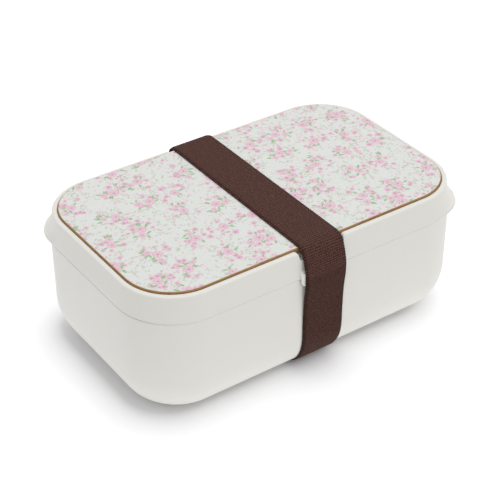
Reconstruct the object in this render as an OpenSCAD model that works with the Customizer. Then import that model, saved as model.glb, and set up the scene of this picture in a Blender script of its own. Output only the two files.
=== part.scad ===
// Bento lunch box: a rounded tub with a clip-on lid, a printed wooden panel in the lid,
// a loose divider inside and a woven elastic band that holds the lid down.
// Millimetres. The origin is on the ground under the middle of the box, +X along its length.
// An inset is a distance measured inward from the box's outline at the seam.

/* [Box] */
// Length of the box at the seam between tub and lid
box_l = 185.2; // [150:0.2:230]
// Width of the box at the seam
box_w = 114.6; // [100:0.2:150]
// Corner radius of the outline at the seam
box_r = 29.9; // [27:0.1:40]
// Height of the printed face above the ground
box_h = 72.4; // [64:0.1:90]

/* [Tub] */
// Height of the feet, which leaves room for the band under the floor
foot_h = 2.6; // [2.5:0.1:4]
// Thickness of the tub's wall
wall_t = 2.8; // [2.6:0.1:3]
// Thickness of the tub's floor
floor_t = 2.4; // [1.8:0.1:3]
// Inward reach of the large rounding between wall and floor
bottom_reach = 15.8; // [12:0.1:18]
// Height of that rounding
bottom_rise = 20.7; // [12:0.1:24]
// Height of the collar that stands inside the lid
collar_h = 5; // [4:0.1:5.2]

/* [Lid] */
// Height of the lid from the seam to the crest of its rim
lid_h = 13.25; // [12.8:0.05:16]
// How far the rim stands in from the seam, the slope of the lid's side
lid_slope = 1.95; // [1.2:0.05:2.2]
// Distance from the seam's outline to the edge of the panel
panel_inset = 4.6; // [4.4:0.1:6]
// Thickness of the wooden panel
panel_t = 3; // [2:0.1:4]
// Height of the printed face above the rim
panel_proud = 0.9; // [0.4:0.1:1.5]
// How far a lift tab stands out of the corner
tab_proud = 3.3; // [2.5:0.1:4]
// Height of a lift tab
tab_h = 8.2; // [6:0.1:10]
// How far the tongue under the band stands out
tongue_proud = 1.5; // [1.2:0.1:2]
// How far the tongue hangs below the seam
tongue_drop = 4.4; // [3:0.1:6]

/* [Band] */
// Width of the elastic band
band_w = 23.6; // [20:0.1:30]
// Thickness of the band
band_t = 1.1; // [0.8:0.1:1.2]
// Where the middle of the band lies along the box
band_x = -0.5; // [-4:0.1:4]

/* [Divider] */
// Where the divider stands along the box
divider_x = 22; // [-40:1:40]
// Height of the divider
divider_h = 50; // [30:1:52]
// Thickness of the divider
divider_t = 1.8; // [1.2:0.1:3]

/* [Hidden] */

// Fineness of the curves
fn_corner = 96;
fn_small = 32;
curve_steps = 12;

// Gap left between pieces that come apart
seam_gap = 0.3;
// Gap between the band and what it lies on
band_gap = 0.1;

// Places of the corners' centres, which every outline of the box shares
corner_x = box_l / 2 - box_r;
corner_y = box_w / 2 - box_r;

// Levels, from the ground up
floor_z = foot_h + floor_t;
rim_z = box_h - panel_proud;
seam_z = rim_z - lid_h;
ledge_z = seam_z - seam_gap;
collar_z = ledge_z + collar_h;

// The tub's section
wall_inset = 0.2;
inner_inset = wall_inset + wall_t;
inner_reach = bottom_reach - wall_t + 0.4;
inner_rise = bottom_rise - floor_t + 0.3;
collar_foot_inset = 1.6;
collar_top_inset = 2.1;
collar_round = 0.4;

// The feet, one hook under each corner
foot_inset = 22;
foot_w = 4;
foot_leg = 16;
foot_chamfer = 0.5;

// The lid's section
film_t = 0.15;
adhesive_t = 0.2;
recess_z = box_h - film_t - panel_t - adhesive_t;
deck_t = 2;
rim_round = 1;
rim_inset = lid_slope;
recess_inset = panel_inset - 0.15;
skirt_lip = 1.1;
groove_inset = 2.1;
groove_z = seam_z + 6.85;
rib_inset = 4.7;
rib_t = 1.3;
rib_z = seam_z + 3.15;
seal_clear = 0.1;
seal_lip = 0.5;
panel_chamfer = 0.35;
film_inset = panel_inset + panel_chamfer;
adhesive_inset = panel_inset + 3;

// The lift tabs, on two corners across from each other
tab_turn = -40;
tab_shift = 13;
tab_r = box_r + tab_proud - tab_shift;
tab_power = 1.3;
tab_lip = 0.7;
tab_bite = 0.9;
tab_clear = 1;

// The notch in the rim and the tongue below it, both under the band
notch_half = band_w / 2 + 0.8;
notch_depth = 4;
notch_round = 1.8;
tongue_half = band_w / 2 + 1.4;
tongue_round = 3.5;
tongue_rise = 2.6;
tongue_blend = 1.9;
tongue_face = box_w / 2 + tongue_proud;

// The band's overlap and its stitches, under the floor
overlap_half = 11;
stitch_row = 7.5;
stitch_pitch = 2.8;
stitch_r = 0.35;
stitches = 8;

// The divider
divider_gap = 0.5;
divider_foot_w = 12;
divider_foot_t = 1.6;
scoop_r = 30;
scoop_depth = 6;

// Points of a quarter ellipse from its level end, at the foot, to its upright end.
function quarter(reach, rise, steps) = [
    for (i = [0:steps])
        let (a = 90 * i / steps)
        [-reach * sin(a), -rise * cos(a)]
];

// The list backwards.
function turned(list) = [for (i = [len(list) - 1:-1:0]) list[i]];

// The list's points with their first coordinate negated.
function flipped(list) = [for (p = list) [-p[0], p[1]]];

// Unit normal to the left of the path at point i.
function normal_at(path, i) =
    let (
        a = path[max(i - 1, 0)],
        b = path[min(i + 1, len(path) - 1)],
        d = (b - a) / norm(b - a)
    )
    [-d[1], d[0]];

// A section given as [inset, height] points, drawn all round the box's outline.
module swept(section) {
    for (i = [0:3]) {
        sx = (i == 0 || i == 3) ? 1 : -1;
        sy = i < 2 ? 1 : -1;
        translate([sx * corner_x, sy * corner_y, 0])
            rotate(90 * i)
                rotate_extrude(angle = 90, $fn = fn_corner)
                    polygon([for (p = section) [box_r - p[0], p[1]]]);
    }
    for (turn = [0, 180]) {
        rotate(turn)
            translate([-corner_x, 0, 0])
                rotate([90, 0, 90])
                    linear_extrude(2 * corner_x)
                        polygon([for (p = section) [box_w / 2 - p[0], p[1]]]);
        rotate(turn)
            translate([0, corner_y, 0])
                rotate([90, 0, 0])
                    linear_extrude(2 * corner_y)
                        polygon([for (p = section) [box_l / 2 - p[0], p[1]]]);
    }
}

// A section that reaches the corners' centres, with the middle filled from z_low to z_high.
module filled(section, z_low, z_high) {
    swept(section);
    translate([-corner_x, -corner_y, z_low])
        cube([2 * corner_x, 2 * corner_y, z_high - z_low]);
}

// A flat sheet with the box's outline at the given inset.
module sheet(inset, z_low, z_high) {
    filled([[box_r, z_low], [inset, z_low], [inset, z_high], [box_r, z_high]], z_low, z_high);
}

module foot() {
    outer = box_r - foot_inset;
    inner = outer - foot_w;
    section = [
        [inner, foot_h], [inner, foot_chamfer], [inner + foot_chamfer, 0],
        [outer - foot_chamfer, 0], [outer, foot_chamfer], [outer, foot_h]
    ];
    rotate_extrude(angle = 90, $fn = fn_corner) polygon(section);
    rotate([90, 0, 0]) linear_extrude(foot_leg) polygon(section);
    translate([-foot_leg, 0, 0])
        rotate([90, 0, 90])
            linear_extrude(foot_leg)
                polygon(section);
}

module tub() {
    outer_curve = [
        for (p = quarter(bottom_reach, bottom_rise, curve_steps))
            [wall_inset + bottom_reach + p[0], foot_h + bottom_rise + p[1]]
    ];
    inner_curve = [
        for (p = quarter(inner_reach, inner_rise, curve_steps))
            [inner_inset + inner_reach + p[0], floor_z + inner_rise + p[1]]
    ];
    collar = [
        [wall_inset, ledge_z], [collar_foot_inset, ledge_z],
        [collar_top_inset, collar_z - collar_round],
        [collar_top_inset + collar_round / 2, collar_z],
        [inner_inset, collar_z]
    ];
    section = concat([[box_r, foot_h]], outer_curve, collar, turned(inner_curve), [[box_r, floor_z]]);
    color("whitesmoke") {
        filled(section, foot_h, floor_z);
        for (i = [0:3]) {
            sx = (i == 0 || i == 3) ? 1 : -1;
            sy = i < 2 ? 1 : -1;
            translate([sx * corner_x, sy * corner_y, 0]) rotate(90 * i) foot();
        }
    }
}

module divider() {
    reach = inner_reach;
    rise = inner_rise;
    half = box_w / 2 - inner_inset - divider_gap;
    low = floor_z + divider_gap;
    side = [for (p = quarter(reach, rise, curve_steps)) [half - reach - p[0], low + rise + p[1]]];
    top = low + divider_h;
    color("whitesmoke")
        translate([divider_x, 0, 0]) {
            difference() {
                translate([-divider_t / 2, 0, 0])
                    rotate([90, 0, 90])
                        linear_extrude(divider_t)
                            polygon(concat(
                                side, [[half, top], [-half, top]],
                                turned(flipped(side))
                            ));
                translate([0, 0, top + scoop_r - scoop_depth])
                    rotate([0, 90, 0])
                        cylinder(r = scoop_r, h = 3 * divider_t, center = true, $fn = fn_corner);
            }
            translate([-divider_foot_w / 2, reach - half, low])
                cube([divider_foot_w, 2 * (half - reach), divider_foot_t]);
        }
}

// The opening in the rim that lets the band down beside the panel.
module rim_notch() {
    low = rim_z - notch_depth;
    round_edge = quarter(notch_round, notch_round, 6);
    corner = [for (p = round_edge) [notch_half - notch_round - p[0], low + notch_round + p[1]]];
    shoulder = [for (p = turned(round_edge)) [notch_half + notch_round + p[0], rim_z - notch_round - p[1]]];
    outline = concat(corner, shoulder, [[notch_half + notch_round, rim_z + 1]]);
    translate([band_x, -box_w / 2 + recess_inset + 0.01, 0])
        rotate([90, 0, 0])
            linear_extrude(box_w / 10)
                polygon(concat(outline, turned(flipped(outline))));
}

// The tongue that hangs from the lid over the tub's wall, under the band.
module tongue() {
    low = seam_z - tongue_drop;
    high = seam_z + tongue_rise;
    back = box_w / 2 + wall_inset / 2;
    corner = [
        for (p = quarter(tongue_round, tongue_round, 8))
            [tongue_half - tongue_round - p[0], low + tongue_round + p[1]]
    ];
    outline = concat(corner, [[tongue_half, high + tongue_blend]]);
    intersection() {
        translate([band_x, 0, 0])
            rotate([90, 0, 0])
                linear_extrude(box_w)
                    polygon(concat(outline, turned(flipped(outline))));
        translate([-box_w / 2, 0, 0])
            rotate([90, 0, 90])
                linear_extrude(box_w)
                    polygon([
                        [-back, low], [-tongue_face + 0.5, low], [-tongue_face, low + 0.8],
                        [-tongue_face, high - 0.6], [-tongue_face + 0.3, high],
                        [-box_w / 2 + lid_slope / 2, high + tongue_blend],
                        [-box_w / 2 + skirt_lip, high + tongue_blend],
                        [-box_w / 2 + skirt_lip, seam_z], [-back, seam_z]
                    ]);
    }
}

// A lift tab: a flat dome that grows out of the corner of the lid.
module lift_tab() {
    steps = 8;
    dome = [
        for (i = [0:steps])
            let (u = i / steps)
            [
                tab_r - tab_proud * (1 - pow(1 - u * u, tab_power)) - lid_slope * u * tab_h / lid_h,
                seam_z + tab_lip + (tab_h - tab_lip) * u
            ]
    ];
    difference() {
        rotate(tab_turn)
            translate([tab_shift, 0, 0])
                rotate_extrude($fn = fn_corner)
                    polygon(concat([[0, seam_z], [tab_r - tab_lip, seam_z]], dome, [[0, seam_z + tab_h]]));
        translate([0, 0, seam_z - tab_clear])
            cylinder(
                r1 = box_r - tab_bite + tab_clear * lid_slope / lid_h,
                r2 = box_r - tab_bite - lid_slope, h = lid_h + tab_clear, $fn = fn_corner
            );
    }
}

module lid_shell() {
    rim = [
        for (p = turned(quarter(rim_round, rim_round, 6)))
            [rim_inset + rim_round + p[0], rim_z - rim_round - p[1]]
    ];
    section = concat(
        [[box_r, recess_z - deck_t], [rib_inset + rib_t, recess_z - deck_t]],
        [[rib_inset + rib_t, rib_z], [rib_inset, rib_z], [rib_inset, groove_z]],
        [[groove_inset, groove_z], [skirt_lip, seam_z], [0, seam_z]],
        rim,
        [[recess_inset, rim_z], [recess_inset, recess_z], [box_r, recess_z]]
    );
    color("whitesmoke") {
        difference() {
            filled(section, recess_z - deck_t, recess_z);
            rim_notch();
            mirror([0, 1, 0]) rim_notch();
        }
        tongue();
        mirror([0, 1, 0]) tongue();
        for (turn = [0, 180])
            rotate(turn)
                translate([corner_x, -corner_y, 0])
                    lift_tab();
    }
}

module lid_seal() {
    outer = groove_inset + seal_clear;
    inner = rib_inset - seal_clear / 2;
    low = collar_z + seam_gap;
    color("lightgray")
        swept([
            [inner, low + seal_lip], [inner - seal_lip, low], [outer + seal_lip, low],
            [outer, low + seal_lip], [outer, groove_z], [inner, groove_z]
        ]);
}

module panel_adhesive() {
    color("lightyellow") sheet(adhesive_inset, recess_z, recess_z + adhesive_t);
}

module lid_panel() {
    low = recess_z + adhesive_t;
    high = low + panel_t;
    color("peru")
        filled([
            [box_r, low], [panel_inset, low], [panel_inset, high - panel_chamfer],
            [panel_inset + panel_chamfer, high], [box_r, high]
        ], low, high);
}

module print_film() {
    color("mistyrose") sheet(film_inset, box_h - film_t, box_h);
}

// The band's inner face on one side of the box, from the panel's edge down to the floor.
function band_side() =
    let (
        top = box_h + band_gap,
        half = box_w / 2,
        edge = half - panel_inset,
        over = tongue_face + band_gap,
        reach = bottom_reach + 2 * band_gap,
        rise = bottom_rise + band_gap,
        curve = turned(quarter(reach, rise, curve_steps))
    )
    concat(
        [[1, top], [edge - 1, top], [edge + 0.7, top - 0.1], [edge + 2.2, top - 1.1], [edge + 3.4, top - 3.2]],
        [[half - 0.2, rim_z - 4.6], [half + 0.6, rim_z - 7.8]],
        [[over, seam_z + tongue_rise - 0.4], [over, seam_z - tongue_drop + 0.6]],
        [[over - 0.6, seam_z - tongue_drop - 4], [half + 0.5, seam_z - tongue_drop - 9]],
        [[half + 0.1, (seam_z + foot_h) / 2]],
        [for (p = curve) [half - wall_inset - bottom_reach - p[0], foot_h + bottom_rise + p[1]]],
        [[1, foot_h - band_gap]]
    );

module elastic_band() {
    side = band_side();
    inner = concat(side, turned(flipped(side)));
    outer = [for (i = [0:len(side) - 1]) side[i] + band_t * normal_at(side, i)];
    under_z = foot_h - band_gap - 2 * band_t;
    color("#54392f")
        translate([band_x - band_w / 2, 0, 0])
            rotate([90, 0, 90]) {
                linear_extrude(band_w)
                    difference() {
                        polygon(concat(outer, turned(flipped(outer))));
                        polygon(inner);
                    }
                linear_extrude(band_w)
                    translate([-overlap_half, under_z])
                        square([2 * overlap_half, 1.2 * band_t]);
            }
}

module band_stitches() {
    low = foot_h - band_gap - 2 * band_t;
    color("#3a2620")
        for (row = [-stitch_row, stitch_row], i = [0:stitches - 1])
            translate([band_x + stitch_pitch * (i - (stitches - 1) / 2), row, low - 0.1])
                cylinder(r = stitch_r, h = 2 * band_t + 0.1, $fn = fn_small);
}

tub();
divider();
lid_shell();
lid_seal();
panel_adhesive();
lid_panel();
print_film();
elastic_band();
band_stitches();
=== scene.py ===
"""Looks of the bento lunch box: moulded shells, a printed wooden lid panel and a woven elastic band."""

import math
import random

import bmesh
import bpy
from mathutils import Matrix, Vector
from mathutils.geometry import delaunay_2d_cdt


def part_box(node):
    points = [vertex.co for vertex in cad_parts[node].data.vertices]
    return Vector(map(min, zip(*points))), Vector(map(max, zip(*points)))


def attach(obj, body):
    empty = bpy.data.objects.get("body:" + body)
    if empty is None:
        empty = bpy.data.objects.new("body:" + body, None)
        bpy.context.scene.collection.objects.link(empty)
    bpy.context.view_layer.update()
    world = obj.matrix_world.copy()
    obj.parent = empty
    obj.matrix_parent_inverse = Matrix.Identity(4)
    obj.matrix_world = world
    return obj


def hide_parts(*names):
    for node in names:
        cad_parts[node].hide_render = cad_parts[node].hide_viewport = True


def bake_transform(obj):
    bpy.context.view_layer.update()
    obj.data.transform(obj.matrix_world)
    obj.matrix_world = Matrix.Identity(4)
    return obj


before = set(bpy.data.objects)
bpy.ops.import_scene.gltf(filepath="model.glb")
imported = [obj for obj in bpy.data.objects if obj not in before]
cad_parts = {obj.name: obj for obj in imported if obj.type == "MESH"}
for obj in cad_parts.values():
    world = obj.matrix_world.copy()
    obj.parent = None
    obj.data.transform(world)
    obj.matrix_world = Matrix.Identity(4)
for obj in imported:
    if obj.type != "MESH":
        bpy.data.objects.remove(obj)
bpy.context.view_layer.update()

# Every length below is in millimetres until a mesh is made.
MM = 0.001


def low_of(node):
    """Lowest corner of a CAD node, in millimetres."""
    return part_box(node)[0] / MM


def high_of(node):
    """Highest corner of a CAD node, in millimetres."""
    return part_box(node)[1] / MM


# The box's outline at the seam. An inset is a distance measured inward from it.
BOX_L = 185.2
BOX_W = 114.6
BOX_R = 29.9
CORNER_X = BOX_L / 2 - BOX_R
CORNER_Y = BOX_W / 2 - BOX_R

# The levels of the tub and the lid
BOX_H = high_of("print_film").z
RIM_Z = high_of("lid_shell").z
COLLAR_Z = high_of("tub").z
PANEL_LOW = low_of("lid_panel").z
PANEL_HIGH = high_of("lid_panel").z
RECESS_Z = low_of("panel_adhesive").z
LID_H = 13.25
SEAM_Z = RIM_Z - LID_H
FOOT_H = 2.6
FLOOR_Z = 5.0

# Radius of the small moulded edges
EDGE = 0.3

# The tub's section. The ledge under the lid lies LEDGE_DROP lower at the box's ends than along its sides,
# and the round shoulder below it is larger along the sides.
WALL_INSET = 0.2
LEDGE_Z = SEAM_Z - 0.1
LEDGE_DROP = 0.5
SHOULDER_R = 0.6
INNER_INSET = 3.0
BOTTOM_REACH, BOTTOM_RISE = 15.8, 20.7
INNER_REACH, INNER_RISE = 13.4, 18.6
COLLAR_FOOT, COLLAR_TOP = 1.6, 2.1
MIDDLE_INSET = 21.0

# The lid's section
LID_SLOPE = 1.95
SKIRT_EDGE = 0.15
LIP_INSET = 1.1
GROOVE_INSET = 2.1
GROOVE_Z = SEAM_Z + 6.85
RIB_INSET, RIB_T = 4.7, 1.3
RIB_Z = SEAM_Z + 3.15
DECK_T = 2.0
RIM_ROUND = 1.2
RIM_HEIGHTS = (9.4, 11.2, 12.0)
RECESS_INSET = 4.42
PANEL_INSET = 4.6
FILM_INSET = 5.12
ADHESIVE_INSET = PANEL_INSET + 3

# The lift tabs on two corners: each is part of a disc that is shifted outward at its turn, in degrees, and
# fades out at the span to each side. Its top is a hollow slope from the lip up to TAB_H.
TAB_TURNS = (-40.0, 140.0)
TAB_PROUD = 3.25
TAB_SHIFT = 13.0
TAB_SPAN = 40.0
TAB_FADE = 8.0
TAB_SOFT = 0.12
TAB_EDGE = 0.7
TAB_LIP = 2.0
TAB_H = 8.2
TAB_STEPS = 12
TAB_POWER = 3.0
TAB_HOLLOW = 0.6

# The band, and the notch and the tongue of the lid under it
BAND_X = (low_of("elastic_band").x + high_of("elastic_band").x) / 2
BAND_W = high_of("elastic_band").x - low_of("elastic_band").x
BAND_T = 1.1
NOTCH_HALF = BAND_W / 2 + 0.8
NOTCH_DEPTH = 4.0
NOTCH_ROUND = 1.8
NOTCH_START_H = 8.2
TONGUE_HALF = BAND_W / 2 + 1.4
TONGUE_DROP = 4.4
TONGUE_RISE = 2.6
TONGUE_BLEND = 1.9
TONGUE_ROUND = 3.5
TONGUE_FACE = BOX_W / 2 + 1.5
TONGUE_BACK = BOX_W / 2 + 0.6


def ease(t):
    """0 below 0, 1 above 1, and a smooth step between them."""
    t = min(max(t, 0.0), 1.0)
    return t * t * (3 - 2 * t)


def mix(a, b, t):
    """The value, or tuple of values, a share t of the way from a to b."""
    if isinstance(a, tuple):
        return tuple(mix(p, q, t) for p, q in zip(a, b))
    return a + (b - a) * t


def arc_height(radius, off):
    """Height of a circle above its middle, at a distance off to the side."""
    return math.sqrt(max(radius ** 2 - off ** 2, 0.0))


def srgb(*levels):
    """The linear colour that shows as these display levels of 0 to 255."""
    shares = [level / 255 for level in levels]
    return tuple(v / 12.92 if v <= 0.04045 else ((v + 0.055) / 1.055) ** 2.4 for v in shares)


# ---- camera, floor and light

CAMERA_AZIMUTH = -34.825
CAMERA_ELEVATION = 34.876
CAMERA_ROLL = -0.215
CAMERA_DISTANCE = 692.2
CAMERA_AIM = (-2.04, -0.57, 37.6)
FOCAL_PIXELS = 1398.5
FRAME_PIXELS = 500
SENSOR = 36.0


def add_object(name, data):
    """A new object with this data, in the scene."""
    made = bpy.data.objects.new(name, data)
    bpy.context.scene.collection.objects.link(made)
    return made


def make_camera():
    """The camera stands where the photograph was taken from."""
    data = bpy.data.cameras.new("camera")
    data.sensor_width = SENSOR
    data.lens = FOCAL_PIXELS * SENSOR / FRAME_PIXELS
    data.clip_start = 0.01
    data.clip_end = 50
    place = Matrix.Translation(Vector(CAMERA_AIM) * MM)
    for angle, axis in ((CAMERA_AZIMUTH, "Z"), (90 - CAMERA_ELEVATION, "X"), (CAMERA_ROLL, "Z")):
        place @= Matrix.Rotation(math.radians(angle), 4, axis)
    camera = add_object("camera", data)
    camera.matrix_world = place @ Matrix.Translation((0, 0, CAMERA_DISTANCE * MM))
    bpy.context.scene.camera = camera


class Nodes:
    """The nodes of a material or a world. An input gets a value, or the node or socket that feeds it."""

    def __init__(self, owner):
        owner.use_nodes = True
        self.tree = owner.node_tree

    def feed(self, socket, source):
        """Sets the socket to a value, or links it."""
        if isinstance(source, bpy.types.Node):
            source = next(output for output in source.outputs if output.enabled)
        if isinstance(source, bpy.types.NodeSocket):
            self.tree.links.new(source, socket)
        else:
            socket.default_value = source

    def add(self, kind, *inputs, **named):
        """A node with its inputs in order, and its settings and other inputs by name."""
        node = self.tree.nodes.new(kind)
        for name, value in named.items():
            if name in node.inputs:
                self.feed(node.inputs[name], value)
            else:
                setattr(node, name, value)
        for socket, source in zip([s for s in node.inputs if s.enabled], inputs):
            self.feed(socket, source)
        return node

    def maths(self, operation, *inputs):
        return self.add("ShaderNodeMath", *inputs, operation=operation)

    def vector(self, operation, *inputs):
        return self.add("ShaderNodeVectorMath", *inputs, operation=operation)

    def noise(self, place, scale, detail, roughness):
        return self.add("ShaderNodeTexNoise", place, Scale=scale, Detail=detail, Roughness=roughness)

    def mixed(self, share, first, second, blend_type="MIX"):
        """A colour that goes from the first to the second with the share."""
        return self.add("ShaderNodeMix", share, first, second, data_type="RGBA", blend_type=blend_type)

    def ranged(self, source, low, high, start=0.0, end=1.0):
        """The source's start to end, mapped to low to high."""
        return self.add("ShaderNodeMapRange", source, start, end, low, high)


WHITE = (1, 1, 1, 1)
SKY_STRENGTH = 0.68
# Name, place, aim, diameter and power of each lamp, in metres and watts
LAMPS = [
    ("lamp_above", (0.25, 0.25, 1.5), (0, 0, 0.05), 1.2, 6.0),
    ("lamp_front", (0.35, -1.35, 0.8), (0, 0, 0.04), 0.8, 2.1),
]
FLOOR_SIZE = 6
FLOOR_COLOUR = (0.79, 0.79, 0.81, 1)
# Light that the floor adds as the camera sees it, where it starts to fade in and how far the fade reaches
FLOOR_LIFT = 0.44
SHADOW_START = 22.5
SHADOW_REACH = 9.0
# How far the shadow lies off the box, in metres
SHADOW_SHIFT = (-0.004, 0.004, 0)
# Paler colour of the floor right under the box, painted light that softens the box's contact shadow there,
# and where it ends
UNDER_PAINTED_LIGHT = (0.85, 0.85, 0.87, 1)
UNDER_START = 20.0
UNDER_END = 35.0
# Light that the floor close to the box gives the box, and how far it reaches
FLOOR_GLOW = 1.5
GLOW_REACH = 30.0


def make_floor():
    """A pale floor that the camera sees as white and that keeps the box's soft shadow close round it."""
    bpy.ops.mesh.primitive_plane_add(size=FLOOR_SIZE, location=(0, 0, 0))
    floor = bpy.context.object
    floor.name = "floor"
    material = bpy.data.materials.new("floor_paper")
    floor.data.materials.append(material)
    nodes = Nodes(material)
    nodes.tree.nodes.clear()
    maths, vector = nodes.maths, nodes.vector
    place = vector("SUBTRACT", nodes.add("ShaderNodeNewGeometry").outputs["Position"], SHADOW_SHIFT)
    past = vector("SUBTRACT", vector("ABSOLUTE", place), (CORNER_X * MM, CORNER_Y * MM, 0))
    away = vector("LENGTH", vector("MAXIMUM", past, (0, 0, 0)))

    def decay(start, reach):
        """1 up to the start and less and less past it, with distances in millimetres."""
        share = maths("MULTIPLY", maths("SUBTRACT", away, start * MM), -1 / (reach * MM))
        return maths("EXPONENT", maths("MINIMUM", share, 0.0))

    lifted = maths("MULTIPLY", maths("SUBTRACT", 1.0, decay(SHADOW_START, SHADOW_REACH)), FLOOR_LIFT)
    clear = nodes.ranged(away, 0.0, 1.0, UNDER_START * MM, UNDER_END * MM)
    glow = maths("MULTIPLY", maths("MULTIPLY", decay(0.0, GLOW_REACH), FLOOR_GLOW), clear)
    path = nodes.add("ShaderNodeLightPath").outputs
    seen = maths("MAXIMUM", path["Is Camera Ray"], path["Is Glossy Ray"])
    lift = nodes.add("ShaderNodeEmission", WHITE, nodes.add("ShaderNodeMix", seen, glow, lifted))
    # Painted light: the floor's colour is paler right under the box, which softens the box's contact shadow.
    paper = nodes.add("ShaderNodeBsdfDiffuse", nodes.mixed(clear, UNDER_PAINTED_LIGHT, FLOOR_COLOUR))
    nodes.add("ShaderNodeOutputMaterial", nodes.add("ShaderNodeAddShader", paper, lift))


def make_light():
    """An even room that the camera sees as pure white, with a large soft lamp above and one in front."""
    world = bpy.data.worlds.new("room")
    bpy.context.scene.world = world
    nodes = Nodes(world)
    nodes.tree.nodes.clear()
    path = nodes.add("ShaderNodeLightPath").outputs
    seen = nodes.maths("MAXIMUM", path["Is Camera Ray"], path["Is Transmission Ray"])
    rooms = [nodes.add("ShaderNodeBackground", WHITE, strength) for strength in (SKY_STRENGTH, 1.0)]
    nodes.add("ShaderNodeOutputWorld", nodes.add("ShaderNodeMixShader", seen, *rooms))
    for name, place, aim, size, power in LAMPS:
        data = bpy.data.lights.new(name, "AREA")
        data.shape = "DISK"
        data.size = size
        data.energy = power
        lamp = add_object(name, data)
        lamp.location = place
        lamp.rotation_mode = "QUATERNION"
        lamp.rotation_quaternion = (Vector(aim) - Vector(place)).to_track_quat("-Z", "Y")


# ---- materials

SHELL_COLOUR = (0.85, 0.84, 0.785)
SHELL_ROUGHNESS = 0.42
DIVIDER_COLOUR = (0.80, 0.80, 0.77)
DIVIDER_ROUGHNESS = 0.4
GLOSS_SPREAD = 0.07
SILICONE_COLOUR = (0.62, 0.63, 0.62)
ADHESIVE_COLOUR = (0.66, 0.60, 0.42)
THREAD_COLOUR = (0.035, 0.02, 0.016)
WOOD_DARK = (0.22, 0.10, 0.025)
WOOD_LIGHT = (0.56, 0.32, 0.11)
YARN_DARK = (0.043, 0.0185, 0.0145)
YARN_LIGHT = (0.141, 0.064, 0.052)
# Taut yarn is this much darker, partly in its own tone and partly with painted shade for the sheen that the
# upper band catches from above, and its ribs show this much less
TAUT_TINT_AND_PAINTED_SHADE = (0.76, 0.76, 0.72, 1)
TAUT_CALM = 0.7
# The weave's pitches, in millimetres
RIB_PITCH = 1.15
SELVEDGE = 0.4
COLUMNS = 18
COLUMN_PITCH = (BAND_W - 2 * SELVEDGE) / COLUMNS
SCALLOP_PITCH = 1.44
TWILL_PITCH = 1.9
# How much each part of the weave tells in the tone of the yarn
RIB_TONE, COLUMN_TONE, CROSSING_TONE, TWILL_TONE = 0.24, 0.13, 0.27, 0.07
FUZZ_TONE, SLUB_TONE, BASE_TONE = 1.9, 0.35, -0.45
# The dark dashes between the scallops: their mean tone and how much it changes, and the distances from the
# band's edge where they start and where they are full
DASH_TONE, DASH_CHANGE = 0.52, 0.50
DASH_START, DASH_FULL = 2.0, 0.8


class Coat(Nodes):
    """A material made round its Principled shader."""

    def __init__(self, name):
        self.material = bpy.data.materials.new(name)
        super().__init__(self.material)
        self.sockets = self.tree.nodes["Principled BSDF"].inputs

    def dress(self, values):
        """Feeds the shader's sockets, from a dictionary of their names."""
        for name, source in values.items():
            self.feed(self.sockets[name], source)

    def space(self, stretch=(1, 1, 1)):
        """The object's own space, scaled."""
        return self.add("ShaderNodeMapping", self.add("ShaderNodeTexCoord").outputs["Object"], Scale=stretch)

    def toned(self, place, colour, spread, scale):
        """Base colour with an uneven tone; returns the noise that it follows."""
        noise = self.noise(place, scale, 4, 0.55)
        low, high = ((*[min(c * share, 1) for c in colour], 1) for share in (1 - spread, 1 + spread))
        self.dress({"Base Color": self.mixed(noise, low, high)})
        return noise

    def bump(self, height, depth, strength):
        """Bump of a depth in millimetres."""
        bump = self.add("ShaderNodeBump", Strength=strength, Distance=depth * MM, Height=height)
        self.dress({"Normal": bump})


def moulded_plastic(name, colour, roughness):
    """Satin polypropylene: fine spark-eroded grain, faint unevenness in tone and gloss."""
    coat = Coat(name)
    place = coat.space()
    coat.toned(place, colour, 0.012, 22)
    handled = coat.noise(place, 70, 3, 0.6)
    coat.dress({
        "Roughness": coat.ranged(handled, roughness - GLOSS_SPREAD, roughness + GLOSS_SPREAD),
        "Specular IOR Level": 0.4,
    })
    coat.bump(coat.noise(place, 2600, 2, 0.6), 0.02, 0.35)
    return coat.material


def silicone(name):
    """Soft milky silicone with a dusty surface."""
    coat = Coat(name)
    place = coat.space()
    coat.toned(place, SILICONE_COLOUR, 0.03, 60)
    dust = coat.noise(place, 900, 3, 0.7)
    coat.dress({
        "Roughness": coat.ranged(dust, 0.38, 0.62),
        "Subsurface Weight": 0.25,
        "Subsurface Radius": (0.002, 0.002, 0.002),
    })
    coat.bump(dust, 0.02, 0.3)
    return coat.material


def adhesive_film(name):
    """Yellowish double-sided tape with a faint crinkle."""
    coat = Coat(name)
    place = coat.space()
    coat.toned(place, ADHESIVE_COLOUR, 0.06, 90)
    crinkle = coat.add("ShaderNodeTexVoronoi", place, Scale=240)
    coat.dress({"Roughness": coat.ranged(crinkle, 0.25, 0.5)})
    coat.bump(crinkle, 0.04, 0.4)
    return coat.material


def stained_wood(name):
    """Brown wood with fibres along the box: the panel's cut edge and its underside."""
    coat = Coat(name)
    layers = coat.noise(coat.space((60, 60, 900)), 1.0, 5, 0.65)
    fibre = coat.noise(coat.space((220, 1800, 1800)), 1.0, 6, 0.7)
    both = coat.maths("ADD", layers, fibre)
    ramp = coat.add("ShaderNodeValToRGB", coat.ranged(both, 0.0, 0.5))
    for stop, position, colour in zip(ramp.color_ramp.elements, (0.38, 0.64), (WOOD_DARK, WOOD_LIGHT)):
        stop.position = position
        stop.color = (*colour, 1)
    coat.dress({"Base Color": ramp, "Roughness": coat.ranged(fibre, 0.55, 0.8)})
    coat.bump(both, 0.08, 0.6)
    return coat.material


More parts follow.
